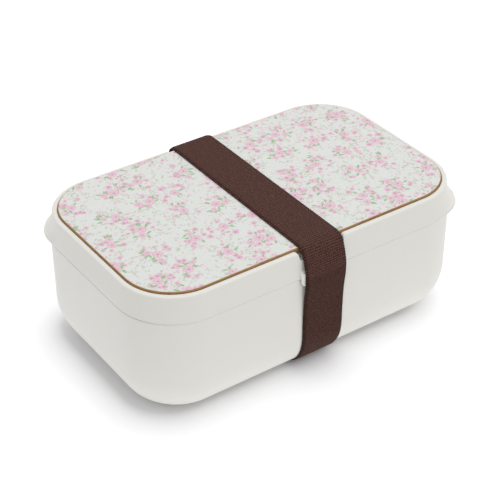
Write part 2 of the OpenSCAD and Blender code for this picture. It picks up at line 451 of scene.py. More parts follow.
def printed_face(name):
    """The lid's printed face: ink colours from the mesh on a faintly grained matt coating."""
    coat = Coat(name)
    place = coat.space()
    ink = coat.add("ShaderNodeAttribute", attribute_name="ink").outputs["Color"]
    level = coat.ranged(coat.noise(place, 700, 4, 0.6), 0.93, 1.06)
    wash = coat.add("ShaderNodeCombineColor", level, level, level)
    grain = coat.noise(place, 1500, 3, 0.6)
    coat.dress({
        "Base Color": coat.mixed(1.0, ink, wash, "MULTIPLY"),
        "Roughness": coat.ranged(grain, 0.42, 0.6),
        "Specular IOR Level": 0.3,
    })
    coat.bump(grain, 0.02, 0.5)
    return coat.material


def woven_elastic(name):
    """Brown elastic webbing: ribs across it, columns of yarn along it and a soft fuzz."""
    coat = Coat(name)
    maths = coat.maths
    along, across, tension = (
        coat.add("ShaderNodeAttribute", attribute_name="weave_" + part).outputs["Fac"]
        for part in ("along", "across", "tension")
    )

    def wave(source, pitch, phase=0.0):
        return maths("SINE", maths("MULTIPLY_ADD", source, 2 * math.pi / pitch, phase))

    def total(start, *parts):
        """The start and every source times its weight."""
        for source, weight in parts:
            start = maths("MULTIPLY_ADD", source, weight, start)
        return start

    ribs = wave(along, RIB_PITCH, math.pi / 2)
    columns = wave(across, COLUMN_PITCH, math.pi / 2)
    crossings = maths("MULTIPLY", ribs, columns)
    checks = total(0.0, (ribs, RIB_TONE), (columns, COLUMN_TONE), (crossings, CROSSING_TONE))
    checks = maths("MULTIPLY", checks, total(1.0, (tension, -TAUT_CALM)))
    twill = maths("MULTIPLY", wave(maths("ADD", along, across), TWILL_PITCH), tension)
    edge = coat.ranged(maths("ABSOLUTE", across), 0.0, 1.0, BAND_W / 2 - DASH_START, BAND_W / 2 - DASH_FULL)
    scallops = wave(along, SCALLOP_PITCH, -math.pi / 2)
    dashes = maths("MULTIPLY", total(DASH_TONE, (scallops, DASH_CHANGE)), edge)
    place = coat.add("ShaderNodeCombineXYZ", along, across)
    fuzz = coat.noise(place, 1.1, 4, 0.7)
    slub = coat.noise(place, 0.35, 3, 0.6)
    pattern = total(
        BASE_TONE, (checks, 1.0), (twill, TWILL_TONE), (fuzz, FUZZ_TONE), (slub, SLUB_TONE), (dashes, -1.0),
    )
    yarn = coat.mixed(coat.ranged(pattern, 0.0, 1.0, 0.35, 1.0), (*YARN_DARK, 1), (*YARN_LIGHT, 1))
    # The taut yarn below the crease is darkened, partly its own tone and partly painted shade for the sheen
    # that the upper band catches from above.
    coat.dress({
        "Base Color": coat.mixed(tension, yarn, TAUT_TINT_AND_PAINTED_SHADE, "MULTIPLY"),
        "Roughness": 0.92,
        "Specular IOR Level": 0.15,
        "Sheen Weight": 0.05,
        "Sheen Roughness": 0.5,
        "Sheen Tint": (0.8, 0.62, 0.56, 1),
    })
    coat.bump(pattern, 0.18, 0.8)
    return coat.material


def sewing_thread(name):
    """Dark twisted thread."""
    coat = Coat(name)
    twist = coat.toned(coat.space((1, 3, 1)), THREAD_COLOUR, 0.4, 900)
    coat.dress({"Roughness": 0.7})
    coat.bump(twist, 0.1, 0.6)
    return coat.material


# ---- mesh helpers

# Places along a plain side, and the distance in metres within which the vertices of a piece are one
PLAIN_SIDE = (-48.0, -32.0, -16.0, 0.0, 16.0, 32.0, 48.0)
WELD = 1e-7


def skin(rings, closed=False):
    """Vertices and faces over rings of equal length, which end in flat faces unless the rings are closed."""
    size, count = len(rings[0]), len(rings)
    verts = [point for ring in rings for point in ring]
    faces = []
    for r in range(count if closed else count - 1):
        a, b = r * size, (r + 1) % count * size
        faces += [(a + k, a + (k + 1) % size, b + (k + 1) % size, b + k) for k in range(size)]
    if not closed:
        faces.append(list(range(size))[::-1])
        faces.append(list(range((count - 1) * size, count * size)))
    return verts, faces


def make_piece(name, parts, material, body, nodes, sharp=38.0, merge=True):
    """One object from a list of (vertices, faces) shells, in millimetres."""
    mesh = bpy.data.meshes.new(name)
    verts, faces = [], []
    for part_verts, part_faces in parts:
        start = len(verts)
        verts += [Vector(v) * MM for v in part_verts]
        faces += [[start + i for i in face] for face in part_faces]
    mesh.from_pydata(verts, [], faces)
    work = bmesh.new()
    work.from_mesh(mesh)
    if merge:
        bmesh.ops.remove_doubles(work, verts=work.verts, dist=WELD)
    bmesh.ops.recalc_face_normals(work, faces=work.faces)
    work.to_mesh(mesh)
    work.free()
    mesh.shade_smooth()
    mesh.set_sharp_from_angle(angle=math.radians(sharp))
    mesh.materials.append(material)
    piece = add_object(name, mesh)
    if body:
        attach(piece, body)
    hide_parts(*nodes)
    return piece


def stations(corner_steps, long_side, short_side=(-14.0, 0.0, 14.0)):
    """Places all round the box, counter-clockwise, as (centre x, centre y, normal x, normal y)."""
    places = []
    for turn in range(4):
        sx = 1 if turn in (0, 3) else -1
        sy = 1 if turn < 2 else -1
        for i in range(corner_steps + 1):
            angle = math.radians(90 * (turn + i / corner_steps))
            places.append((sx * CORNER_X, sy * CORNER_Y, math.cos(angle), math.sin(angle)))
        if turn % 2 == 0:
            places += [(x, sy * CORNER_Y, 0.0, float(sy)) for x in sorted(long_side, reverse=turn == 0)]
        else:
            places += [(sx * CORNER_X, y, float(sx), 0.0) for y in sorted(short_side, reverse=turn == 1)]
    return places


def rings_of(places, section_of):
    """Rings round the box, one for each (inset, height) point of the section that each place has."""
    sections = [section_of(place) for place in places]
    return [
        [
            (cx + (BOX_R - section[k][0]) * nx, cy + (BOX_R - section[k][0]) * ny, section[k][1])
            for (cx, cy, nx, ny), section in zip(places, sections)
        ]
        for k in range(len(sections[0]))
    ]


def bend(inset, z, radius, start, end, steps=4):
    """Points of a round edge about (inset, z), from the angle start to end, where 0 points outward."""
    angles = [math.radians(mix(start, end, i / steps)) for i in range(steps + 1)]
    return [(inset - radius * math.cos(a), z + radius * math.sin(a)) for a in angles]


# ---- the tub

def bottom_curve(inset, foot, reach, rise, steps=20):
    """The quarter ellipse between floor and wall, from its foot up, as (inset, height) points."""
    angles = [math.radians(90 * i / steps) for i in range(steps + 1)]
    return [(inset + reach * (1 - math.sin(a)), foot + rise * (1 - math.cos(a))) for a in angles]


def tub_section(place):
    """From the middle of the underside, up the outside and down the inside to the middle of the floor."""
    endward = place[2] ** 2
    outside = bottom_curve(WALL_INSET, FOOT_H, BOTTOM_REACH, BOTTOM_RISE)
    inside = bottom_curve(INNER_INSET, FLOOR_Z, INNER_REACH, INNER_RISE)[::-1]
    step = LEDGE_Z - LEDGE_DROP * endward
    shoulder = mix(SHOULDER_R, EDGE, endward)
    ledge = [(WALL_INSET, step - 1.5)] + bend(WALL_INSET + shoulder, step - shoulder, shoulder, 0, 90)
    collar = [(COLLAR_FOOT, step), (COLLAR_FOOT + 0.1, step + 0.6), (COLLAR_TOP - 0.1, COLLAR_Z - 1.0)]
    lip = bend(COLLAR_TOP + EDGE, COLLAR_Z - EDGE, EDGE, 0, 90)
    lip += bend(INNER_INSET - EDGE, COLLAR_Z - EDGE, EDGE, 90, 180)
    return (
        [(MIDDLE_INSET, FOOT_H), (WALL_INSET + BOTTOM_REACH + 1, FOOT_H)]
        + outside + [(WALL_INSET, FOOT_H + BOTTOM_RISE + 1.5)]
        + ledge + [(COLLAR_FOOT - 0.4, step)] + collar + lip
        + [(INNER_INSET, COLLAR_Z - 1.5), (INNER_INSET, FLOOR_Z + INNER_RISE + 1.5)]
        + inside + [(INNER_INSET + INNER_REACH + 1, FLOOR_Z), (MIDDLE_INSET, FLOOR_Z)]
    )


def foot_rings(turn):
    """A hooked foot under one corner: a round-ended bar along both sides and round the corner."""
    middle, half, leg, chamfer, sunk = 5.9, 2.0, 16.0, 0.5, 0.4
    path = [(middle, -leg + d, 0.0, d) for d in (0.02, 0.3, 0.8, 1.4, 2.0, 8.0, 15.5)]
    path += [
        (middle * math.cos(math.radians(a)), middle * math.sin(math.radians(a)), a, half)
        for a in range(0, 91, 10)
    ]
    path += [(-leg + d, middle, 90.0, d) for d in (15.5, 8.0, 2.0, 1.4, 0.8, 0.3, 0.02)]
    sx = 1 if turn in (0, 3) else -1
    sy = 1 if turn < 2 else -1
    spin = Matrix.Rotation(math.radians(90 * turn), 2)
    rings = []
    for x, y, angle, from_end in path:
        room = min(from_end, half)
        wide = arc_height(half, half - room)
        side = Vector((math.cos(math.radians(angle)), math.sin(math.radians(angle))))
        cut = min(chamfer, wide * 0.5)
        section = [
            (-wide, FOOT_H + sunk), (-wide, cut), (-wide + 0.3 * cut, 0.3 * cut), (-wide + cut, 0),
            (wide - cut, 0), (wide - 0.3 * cut, 0.3 * cut), (wide, cut), (wide, FOOT_H + sunk),
        ]
        ring = []
        for out, z in section:
            spot = spin @ (Vector((x, y)) + side * out)
            ring.append((sx * CORNER_X + spot.x, sy * CORNER_Y + spot.y, z))
        rings.append(ring)
    return rings


def make_tub(material):
    """The tub with its collar and its four feet."""
    parts = [skin(rings_of(stations(28, PLAIN_SIDE), tub_section))]
    parts += [skin(foot_rings(turn)) for turn in range(4)]
    make_piece("tub_body", parts, material, "tub", ["tub"])


# ---- the lid

def tab_proud(place):
    """How far a lift tab stands out at its lip, at this place."""
    cx, _, nx, ny = place
    angle = math.degrees(math.atan2(ny, nx))
    for turn in TAB_TURNS:
        off = abs((angle - turn + 180) % 360 - 180)
        if off < TAB_SPAN and cx * math.cos(math.radians(turn)) > 0:
            across = TAB_SHIFT * math.sin(math.radians(off))
            disc = BOX_R + TAB_PROUD - TAB_SHIFT
            proud = TAB_SHIFT * math.cos(math.radians(off)) + math.sqrt(disc ** 2 - across ** 2) - BOX_R
            soft = 0.5 * (proud + math.sqrt(proud ** 2 + TAB_SOFT))
            return soft * ease((TAB_SPAN - off) / TAB_FADE)
    return 0.0


def notch_drop(place):
    """How far the rim is cut down at this place, for the band."""
    if place[3] not in (1.0, -1.0):
        return 0.0
    off = abs(place[0] - BAND_X)
    if off >= NOTCH_HALF + NOTCH_ROUND:
        return 0.0
    if off >= NOTCH_HALF:
        return NOTCH_ROUND - arc_height(NOTCH_ROUND, NOTCH_HALF + NOTCH_ROUND - off)
    if off > NOTCH_HALF - NOTCH_ROUND:
        return NOTCH_DEPTH - NOTCH_ROUND + arc_height(NOTCH_ROUND, off - NOTCH_HALF + NOTCH_ROUND)
    return NOTCH_DEPTH


def lid_section(place):
    """From the middle of the deck's underside, round the skirt and over the rim to the recess's middle."""
    proud = tab_proud(place)
    drop = notch_drop(place)
    crest = LID_H - drop
    edge = mix(SKIRT_EDGE, TAB_EDGE, proud / TAB_PROUD)

    def lowered(h):
        """A height above the seam, with the skirt's upper part pressed down by the notch."""
        if h < NOTCH_START_H:
            return h
        return mix(NOTCH_START_H, crest, (h - NOTCH_START_H) / (LID_H - NOTCH_START_H))

    def swell(h):
        """The share of the tab that still stands out at a height above the seam."""
        share = max(h - TAB_LIP, 0) / (TAB_H - TAB_LIP)
        return (1 - share) ** TAB_POWER if share < 1 else 0.0

    def face(h):
        """Inset of the skirt's outer face at a height above the seam."""
        return LID_SLOPE * h / LID_H - proud * swell(h)

    def hollow(h):
        """How far the top of a tab is dished behind its lip."""
        return TAB_HOLLOW * proud / TAB_PROUD * 4 * swell(h) * (1 - swell(h))

    rib_back, deck_z = RIB_INSET + RIB_T, RECESS_Z - DECK_T
    under = [(MIDDLE_INSET, deck_z), (rib_back + 1, deck_z), (rib_back, deck_z), (rib_back, RIB_Z + 1.0)]
    under += bend(rib_back - EDGE, RIB_Z + EDGE, EDGE, 180, 270, 3)
    under += bend(RIB_INSET + EDGE, RIB_Z + EDGE, EDGE, 270, 360, 3)
    under += [(RIB_INSET, GROOVE_Z), (GROOVE_INSET, GROOVE_Z)]
    under += [(LIP_INSET, SEAM_Z + EDGE), (LIP_INSET - 0.1, SEAM_Z)]
    foot = face(0)
    lip = [(min(foot + edge + 0.3, LIP_INSET - 0.2), SEAM_Z)]
    lip += bend(foot + edge, SEAM_Z + edge, edge, -90, 0)
    heights = [TAB_LIP + 0.1]
    heights += [mix(TAB_LIP, TAB_H, (i / TAB_STEPS) ** 1.5) for i in range(1, TAB_STEPS + 1)]
    heights += RIM_HEIGHTS
    skirt = [(face(lowered(h)), SEAM_Z + lowered(h) - hollow(h)) for h in heights]
    top = SEAM_Z + crest
    out = LID_SLOPE * (crest - RIM_ROUND) / LID_H
    rim = bend(out + RIM_ROUND, top - RIM_ROUND, RIM_ROUND, 4, 90, 9)
    rim += [(out + RIM_ROUND + 0.2, top), (RECESS_INSET - EDGE - 0.1, top)]
    rim += bend(RECESS_INSET - EDGE, top - EDGE, EDGE, 90, 180, 3)
    rim += [(RECESS_INSET, RECESS_Z + 0.6 if drop < 1 else RECESS_Z - 0.02)]
    recess = [(inset, RECESS_Z) for inset in (RECESS_INSET, ADHESIVE_INSET, MIDDLE_INSET)]
    return under + lip + skirt + rim + recess


def tongue_rings(side):
    """The tongue that hangs over the tub's wall under the band, on the side -1 or 1."""
    edge = 0.5
    offs = (0.0, 0.03, 0.12, 0.27, 0.5, 0.8, 1.2, 1.8, 2.5, 3.5, 5.0, 9.0)
    columns = [-TONGUE_HALF + d for d in offs] + [0.0] + [TONGUE_HALF - d for d in reversed(offs)]
    low, high = SEAM_Z - TONGUE_DROP, SEAM_Z + TONGUE_RISE
    top = high + TONGUE_BLEND
    skirt = BOX_W / 2 - LID_SLOPE * (top - SEAM_Z) / LID_H
    sunk = BOX_W / 2 - 1.0
    rings = []
    for x in columns:
        room = TONGUE_HALF - abs(x)
        pulled = edge - arc_height(edge, edge - min(room, edge))
        face = TONGUE_FACE - pulled
        corner = TONGUE_ROUND - min(room, TONGUE_ROUND)
        foot = low + TONGUE_ROUND - arc_height(TONGUE_ROUND, corner)
        front = [
            (TONGUE_BACK, foot), (face - edge, foot), (face - 0.25, foot + 0.06), (face - 0.06, foot + 0.25),
            (face, foot + edge), (face, foot + 1.2), (face, high - 1.2), (face - 0.03, high - 0.5),
            (face - 0.16, high - 0.1), (skirt + 0.3, top - 0.5), (skirt - 0.2, top),
        ]
        back = [(sunk, top), (sunk, SEAM_Z + 0.2), (TONGUE_BACK, SEAM_Z + 0.2)]
        rings.append([(BAND_X + x, side * y, z) for y, z in front + back])
    return rings


def make_lid(material):
    """The lid's shell, with places close together at the notches, and its two tongues."""
    turns = [math.radians(a) for a in range(0, 91, 15)]
    near = [NOTCH_HALF + NOTCH_ROUND * (1 - math.sin(a)) for a in turns]
    near += [NOTCH_HALF - NOTCH_ROUND * (1 - math.cos(a)) - 0.02 for a in turns]
    sides = [BAND_X + sign * t for t in near for sign in (-1, 1)] + [-48.0, -32.0, BAND_X, 32.0, 48.0]
    parts = [skin(rings_of(stations(36, sides), lid_section))]
    parts += [skin(tongue_rings(side)) for side in (-1, 1)]
    make_piece("lid_cover", parts, material, "lid", ["lid_shell"])


def make_seal(material):
    """The seal in the lid's groove, with a round lip that meets the tub's collar."""
    outer, inner = GROOVE_INSET + 0.12, RIB_INSET - 0.08
    low = low_of("lid_seal").z
    middle, radius = (outer + inner) / 2, 0.9

    def section(_place):
        bead = bend(middle, low + radius, radius, 210, 330, 8)
        flanks = [(outer + 0.35, low + 1.3), (outer, low + 1.7), (outer, GROOVE_Z)]
        back = [(inner, GROOVE_Z), (inner, low + 1.7), (inner - 0.35, low + 1.3)]
        return bead + flanks + back

    parts = [skin(rings_of(stations(28, PLAIN_SIDE), section), closed=True)]
    make_piece("seal_ring", parts, material, "lid", ["lid_seal"])


def make_adhesive(material):
    """A thin sheet between the recess and the panel, a little squeezed out at its edge."""
    def section(_place):
        return [
            (MIDDLE_INSET, RECESS_Z), (ADHESIVE_INSET, RECESS_Z), (ADHESIVE_INSET - 0.08, RECESS_Z + 0.1),
            (ADHESIVE_INSET, PANEL_LOW), (MIDDLE_INSET, PANEL_LOW),
        ]

    parts = [skin(rings_of(stations(20, PLAIN_SIDE), section))]
    make_piece("adhesive_sheet", parts, material, "lid", ["panel_adhesive"])


def make_panel(material):
    """The wooden panel, with rounded edges."""
    edge, low_edge = 0.35, 0.2

    def section(_place):
        return (
            [(MIDDLE_INSET, PANEL_LOW), (PANEL_INSET + 0.8, PANEL_LOW)]
            + bend(PANEL_INSET + low_edge, PANEL_LOW + low_edge, low_edge, -90, 0, 3)
            + [(PANEL_INSET, PANEL_LOW + 0.6), (PANEL_INSET, PANEL_HIGH - 0.8)]
            + bend(PANEL_INSET + edge, PANEL_HIGH - edge, edge, 0, 90)
            + [(PANEL_INSET + 0.8, PANEL_HIGH), (MIDDLE_INSET, PANEL_HIGH)]
        )

    parts = [skin(rings_of(stations(36, PLAIN_SIDE), section))]
    make_piece("wood_panel", parts, material, "lid", ["lid_panel"])


# ---- the printed face

PETAL_LIGHT = srgb(237, 217, 223)
PETAL_MID = srgb(231, 199, 210)
PETAL_DEEP = srgb(222, 166, 191)
PETAL_HEART = srgb(206, 139, 170)
LEAF_DEEP = srgb(148, 190, 138)
LEAF_LIGHT = srgb(190, 213, 183)
TWIG = srgb(205, 218, 203)
GROUND = srgb(229, 231, 227)

# Each layer of a rose: its share of the size, its turn, and the tones at its middle and its edge
ROSE_LAYERS = [
    (1.00, 0, PETAL_DEEP, PETAL_LIGHT),
    (0.79, 36, PETAL_DEEP, PETAL_DEEP),
    (0.71, 36, PETAL_MID, PETAL_LIGHT),
    (0.51, 8, PETAL_HEART, PETAL_DEEP),
    (0.43, 8, PETAL_MID, PETAL_LIGHT),
    (0.24, 40, PETAL_HEART, PETAL_DEEP),
]
PRINT_SEED = 11
# Distances between the posies of a row and between the rows, and how many small motifs lie on a square
# millimetre
POSY_PITCH, ROW_PITCH = 20.5, 16.5
SPRIG_SHARE, DAB_SHARE, LEAF_SHARE = 0.034, 0.045, 0.02
# The tiles that the face is cut in, along and across, and the distance within which two corners are one
TILES_X, TILES_Y = 22, 13
SAME_POINT = 5e-7


def polar(x, y, distance, turn):
    """The point at a distance from (x, y), in the direction turn in degrees."""
    a = math.radians(turn)
    return x + distance * math.cos(a), y + distance * math.sin(a)


def turned(x, y, points, turn):
    """The points turned about the origin by a number of degrees and then moved by (x, y)."""
    c, s = math.cos(math.radians(turn)), math.sin(math.radians(turn))
    return [(x + u * c - v * s, y + u * s + v * c) for u, v in points]


def oval(x, y, half_long, half_wide, turn, pointed=0.0, points=8):
    """An oval outline, with sharper ends as pointed grows."""
    angles = [2 * math.pi * i / points for i in range(points)]
    outline = [
        (half_long * math.cos(a), half_wide * math.sin(a) * abs(math.sin(a)) ** pointed) for a in angles
    ]
    return turned(x, y, outline, turn)


def lobed(x, y, size, turn, stretch=1.0):
    """The outline of five round petals side by side."""
    outline = []
    for petal in range(5):
        for step, out in enumerate((0.74, 0.97, 1.03, 0.96)):
            u, v = polar(0, 0, size * out, 72 * petal + 18 * step)
            outline.append((u * stretch, v))
    return turned(x, y, outline, turn)


class Print:
    """The motifs of the printed face, each drawn over the ones before it."""

    def __init__(self, seed):
        self.rng = random.Random(seed)
        self.motifs = []

    def draw(self, outline, middle, reach, near, far):
        """A patch of ink whose tone runs from near at its middle to far at the reach."""
        self.motifs.append((outline, middle, reach, near, far))

    def rose(self, x, y, size):
        """Layers of petals, pale ones over darker ones that leave a thin edge."""
        first = self.rng.uniform(0, 72)
        stretch = self.rng.uniform(0.9, 1.1)
        for share, turn, near, far in ROSE_LAYERS:
            x += self.rng.uniform(-0.03, 0.03) * size
            y += self.rng.uniform(-0.03, 0.03) * size
            self.draw(lobed(x, y, size * share, first + turn, stretch), (x, y), size * share, near, far)

    def blossom(self, x, y, size):
        """Five petals round a small heart."""
        far = mix(PETAL_MID, PETAL_LIGHT, self.rng.random())
        self.draw(lobed(x, y, size, self.rng.uniform(0, 72)), (x, y), size, PETAL_DEEP, far)
        self.draw(oval(x, y, 0.26 * size, 0.22 * size, 0, 0, 5), (x, y), 1, PETAL_HEART, PETAL_HEART)

    def leaf(self, x, y, size, turn, tone):
        """A pointed leaf, paler towards its tip."""
        near, far = mix(LEAF_DEEP, LEAF_LIGHT, tone), mix(LEAF_DEEP, LEAF_LIGHT, min(tone + 0.45, 1))
        foot = polar(x, y, -0.5 * size, turn)
        self.draw(oval(x, y, 0.5 * size, 0.21 * size, turn, 0.35), foot, size, near, far)

    def twig(self, x, y, length, turn, curl, width=0.2):
        """A curved stem; returns its far end."""
        left, right = [], []
        steps = 4
        for i in range(steps + 1):
            left.append(polar(x, y, width / 2, turn + 90))
            right.append(polar(x, y, width / 2, turn - 90))
            if i < steps:
                x, y = polar(x, y, length / steps, turn)
                turn += curl / steps
        self.draw(right + left[::-1], (x, y), 1, TWIG, TWIG)
        return x, y

    def dab(self, x, y, size):
        """A bud or a loose petal."""
        far = mix(PETAL_MID, PETAL_LIGHT, self.rng.uniform(0.1, 0.9))
        outline = oval(x, y, size, size * self.rng.uniform(0.5, 0.8), self.rng.uniform(0, 180), 0, 6)
        self.draw(outline, (x, y), size, mix(PETAL_DEEP, far, 0.4), far)

    def sprig(self, x, y, length, turn):
        """A stem with a bud at its end and small leaves along it."""
        rng = self.rng
        curl = rng.uniform(-50, 50)
        end_x, end_y = self.twig(x, y, length, turn, curl)
        for share in (0.45, 0.75):
            spot = polar(x, y, length * share, turn + curl * share * 0.5)
            lean = turn + rng.choice((-48, 48))
            self.leaf(*polar(*spot, 0.6, lean), rng.uniform(0.9, 1.5), lean, rng.uniform(0.5, 1.0))
        self.dab(end_x, end_y, rng.uniform(0.45, 0.8))

    def posy(self, x, y):
        """A bunch: sprigs behind, then leaves and blossoms, with one to three roses on top."""
        rng = self.rng
        for k in range(7):
            turn = 51 * k + rng.uniform(-25, 25)
            self.sprig(*polar(x, y, 2.5, turn), rng.uniform(4, 8), turn)
        lean = rng.uniform(0, 360)
        heads = [(x, y, rng.uniform(2.7, 3.5))]
        for share in (0, 130):
            if rng.random() < 0.6:
                heads.append((*polar(x, y, rng.uniform(4.4, 5.8), lean + share), rng.uniform(1.7, 2.5)))
        for _ in range(rng.randint(7, 10)):
            self.blossom(*polar(x, y, rng.uniform(3.6, 7.8), rng.uniform(0, 360)), rng.uniform(1.0, 1.9))
        for head_x, head_y, size in heads:
            for _ in range(rng.randint(3, 4)):
                turn = rng.uniform(0, 360)
                spot = polar(head_x, head_y, size + rng.uniform(0.3, 1.4), turn)
                self.leaf(*spot, rng.uniform(2.3, 3.6), turn + rng.uniform(-35, 35), rng.uniform(0, 0.3))
        for _ in range(rng.randint(14, 18)):
            self.dab(*polar(x, y, rng.uniform(4.2, 10.2), rng.uniform(0, 360)), rng.uniform(0.4, 0.9))
        for head_x, head_y, size in heads[::-1]:
            self.rose(head_x, head_y, size)

    def scatter(self, half_x, half_y, each, share):
        """Calls each with random points, so many to a square millimetre."""
        for _ in range(int(4 * half_x * half_y * share)):
            each(self.rng.uniform(-half_x, half_x), self.rng.uniform(-half_y, half_y))

    def fill(self, half_x, half_y):
        """Posies in loose staggered rows, with small sprigs, dabs and leaves scattered between them."""
        rng = self.rng

        def small_sprig(x, y):
            self.sprig(x, y, rng.uniform(2.5, 6), rng.uniform(0, 360))

        def small_dab(x, y):
            self.dab(x, y, rng.uniform(0.3, 0.75))

        def small_leaf(x, y):
            self.leaf(x, y, rng.uniform(1.2, 2.2), rng.uniform(0, 360), 0.7)

        for each, share in ((small_sprig, SPRIG_SHARE), (small_dab, DAB_SHARE), (small_leaf, LEAF_SHARE)):
            self.scatter(half_x, half_y, each, share)
        rows = round(2 * half_y / ROW_PITCH)
        columns = round(2 * half_x / POSY_PITCH)
        for row in range(rows + 1):
            for column in range(columns + 1):
                x = mix(-half_x, half_x, (column + 0.5 * (row % 2)) / columns)
                y = mix(-half_y, half_y, row / rows)
                self.posy(x + rng.uniform(-3.5, 3.5), y + rng.uniform(-3, 3))


def print_outline():
    """The outline of the printed face."""
    return [
        (cx + (BOX_R - FILM_INSET) * nx, cy + (BOX_R - FILM_INSET) * ny)
        for cx, cy, nx, ny in stations(28, PLAIN_SIDE)
    ]


def bounds_of(outline):
    """The least and greatest x, then the least and greatest y."""
    xs, ys = zip(*outline)
    return min(xs), max(xs), min(ys), max(ys)


def clipped(outline, axis, limit, above):
    """The part of a convex outline on one side of a line across the given axis."""
    result = []
    for a, b in zip(outline, outline[1:] + outline[:1]):
        a_in, b_in = ((p[axis] >= limit) == above for p in (a, b))
        if a_in:
            result.append(a)
        if a_in != b_in:
            low, high = sorted((a, b))
            result.append(mix(low, high, (limit - low[axis]) / (high[axis] - low[axis])))
    return result


def tile_patches(outlines, bounds, limits):
    """The triangles that a tile is cut into, each with its corners and its topmost outline's number."""
    x_low, x_high, y_low, y_high = limits
    ground = outlines[0]
    for axis, limit, above in ((0, x_low, True), (0, x_high, False), (1, y_low, True), (1, y_high, False)):
        ground = clipped(ground, axis, limit, above)
    numbers = [
        number for number, (a, b, c, d) in enumerate(bounds)
        if a < x_high and b > x_low and c < y_high and d > y_low
    ]
    points, rings = [], []
    for outline in [ground] + [outlines[number] for number in numbers[1:]]:
        rings.append(list(range(len(points), len(points) + len(outline))))
        points += [Vector(p) for p in outline]
    spots, _, patches, _, _, sources = delaunay_2d_cdt(points, [], rings, 1, 1e-4, True)
    return [
        ([spots[i] for i in patch], numbers[max(source)])
        for patch, source in zip(patches, sources) if 0 in source
    ]


def make_print(material):
    """A thin coat on the panel, whose top is split along the outlines of the motifs for their inks."""
    half_x, half_y = BOX_L / 2 - PANEL_INSET, BOX_W / 2 - PANEL_INSET
    design = Print(PRINT_SEED)
    design.fill(half_x, half_y)
    outlines = [print_outline()] + [motif[0] for motif in design.motifs]
    bounds = [bounds_of(outline) for outline in outlines]
    work = bmesh.new()
    ink = work.loops.layers.float_color.new("ink")
    for column in range(TILES_X):
        for row in range(TILES_Y):
            limits = [mix(-half_x, half_x, (column + k) / TILES_X) for k in (0, 1)]
            limits += [mix(-half_y, half_y, (row + k) / TILES_Y) for k in (0, 1)]
            for corners, motif in tile_patches(outlines, bounds, limits):
                face = work.faces.new([work.verts.new((p.x * MM, p.y * MM, BOX_H * MM)) for p in corners])
                for loop, p in zip(face.loops, corners):
                    colour = GROUND
                    if motif:
                        _, middle, reach, near, far = design.motifs[motif - 1]
                        colour = mix(near, far, min((p - Vector(middle)).length / reach, 1.0))
                    loop[ink] = (*colour, 1)
    bmesh.ops.remove_doubles(work, verts=work.verts, dist=SAME_POINT)
    printed = set(work.faces)
    rim = [edge for edge in work.edges if len(edge.link_faces) == 1]
    grown = bmesh.ops.extrude_edge_only(work, edges=rim)["geom"]
    for vert in grown:
        if isinstance(vert, bmesh.types.BMVert):
            vert.co.z = PANEL_HIGH * MM
    bmesh.ops.contextual_create(work, geom=[e for e in grown if isinstance(e, bmesh.types.BMEdge)])
    for face in set(work.faces) - printed:
        for loop in face.loops:
            loop[ink] = (*GROUND, 1)
    bmesh.ops.recalc_face_normals(work, faces=work.faces)
    mesh = bpy.data.meshes.new("print_face")
    work.to_mesh(mesh)
    work.free()
    mesh.materials.append(material)
    piece = add_object("print_face", mesh)
    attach(piece, "lid")
    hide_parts("print_film")


# ---- the elastic band

BAND_GAP = 0.1
BASE_Z = FOOT_H - BAND_GAP
OVERLAP_HALF = 11.0
WEAVE_STEP = RIB_PITCH / 4
# The band is taut below this height; there its yarn is darker, partly in its own tone and partly with
# painted shade
CREASE_Z = 58.6
# It lies this far off the middle of its notch
BAND_SHIFT = 0.25
# Its mean thickness, and how much the ribs, the columns and their crossings add to it and take from it
WEB_T = BAND_T - 0.13
RIB_RELIEF, COLUMN_RELIEF, CROSSING_RELIEF = 0.07, 0.02, 0.04
# Its edges: the depth of a scallop, the turned edge as (inset, height) points, and the share of its
# thickness that it thins to, within EDGE_REACH
SCALLOP_DEPTH = 0.16
TURNED_EDGE = [(0.3, 0.03), (0.05, 0.15), (0.0, 0.3), (0.08, 0.48)]
EDGE_SHARE = 0.55
EDGE_REACH = 1.8


def band_path():
    """The band's inner face as (y, z) points: from its inner end on the base, up the front, over the top,
    down the back and under the inner end."""
    top = BOX_H + BAND_GAP
    half = BOX_W / 2
    edge = half - PANEL_INSET
    over = TONGUE_FACE + BAND_GAP
    foot = SEAM_Z - TONGUE_DROP
    near_bend = [(-1, 0.0), (0.7, 0.1), (2.2, 1.1), (3.4, 3.2)]
    far_bend = [(0.4, 0.0), (1.8, 0.2), (3.1, 1.1), (4.0, 3.2)]
    near_bend, far_bend = (
        [(edge + out, top - down) for out, down in turn] for turn in (near_bend, far_bend)
    )
    side = [(half - 0.2, RIM_Z - 4.6), (half + 0.6, RIM_Z - 7.8)]
    side += [(over, SEAM_Z + TONGUE_RISE - 0.4), (over, foot - 0.3)]
    side += [(over - 0.45, foot - 3.5), (half + 0.75, foot - 7.0), (half + 0.3, foot - 12.0)]
    side += [(half - 0.02, (SEAM_Z + FOOT_H) / 2)]
    curve = bottom_curve(WALL_INSET, FOOT_H, BOTTOM_REACH + 2 * BAND_GAP, BOTTOM_RISE + BAND_GAP, 12)
    side += [(half + 2 * BAND_GAP - inset, z - BAND_GAP) for inset, z in curve[::-1]]
    front = [(-y, z) for y, z in ([(0, top)] + near_bend + side)[::-1]]
    low = BASE_Z - BAND_T
    dip = [(17, BASE_Z), (14.8, BASE_Z - 0.3), (12.6, low + 0.2), (OVERLAP_HALF, low), (-OVERLAP_HALF, low)]
    return [(OVERLAP_HALF, BASE_Z)] + front + far_bend + side + dip


def evenly(path, step):
    """Points along a path at an even step, with its corners rounded."""
    points = [Vector(p) for p in path]
    even, left = [points[0]], step
    for a, b in zip(points, points[1:]):
        length = (b - a).length
        while left <= length:
            even.append(a + (b - a) * (left / length))
            left += step
        left -= length
    last = len(even) - 1
    for reach in (2, 4) * 3:
        inner = [
            (even[max(i - reach, 0)] + even[min(i + reach, last)] + 2 * even[i]) / 4
            for i in range(1, last)
        ]
        even = [even[0]] + inner + [even[last]]
    return even


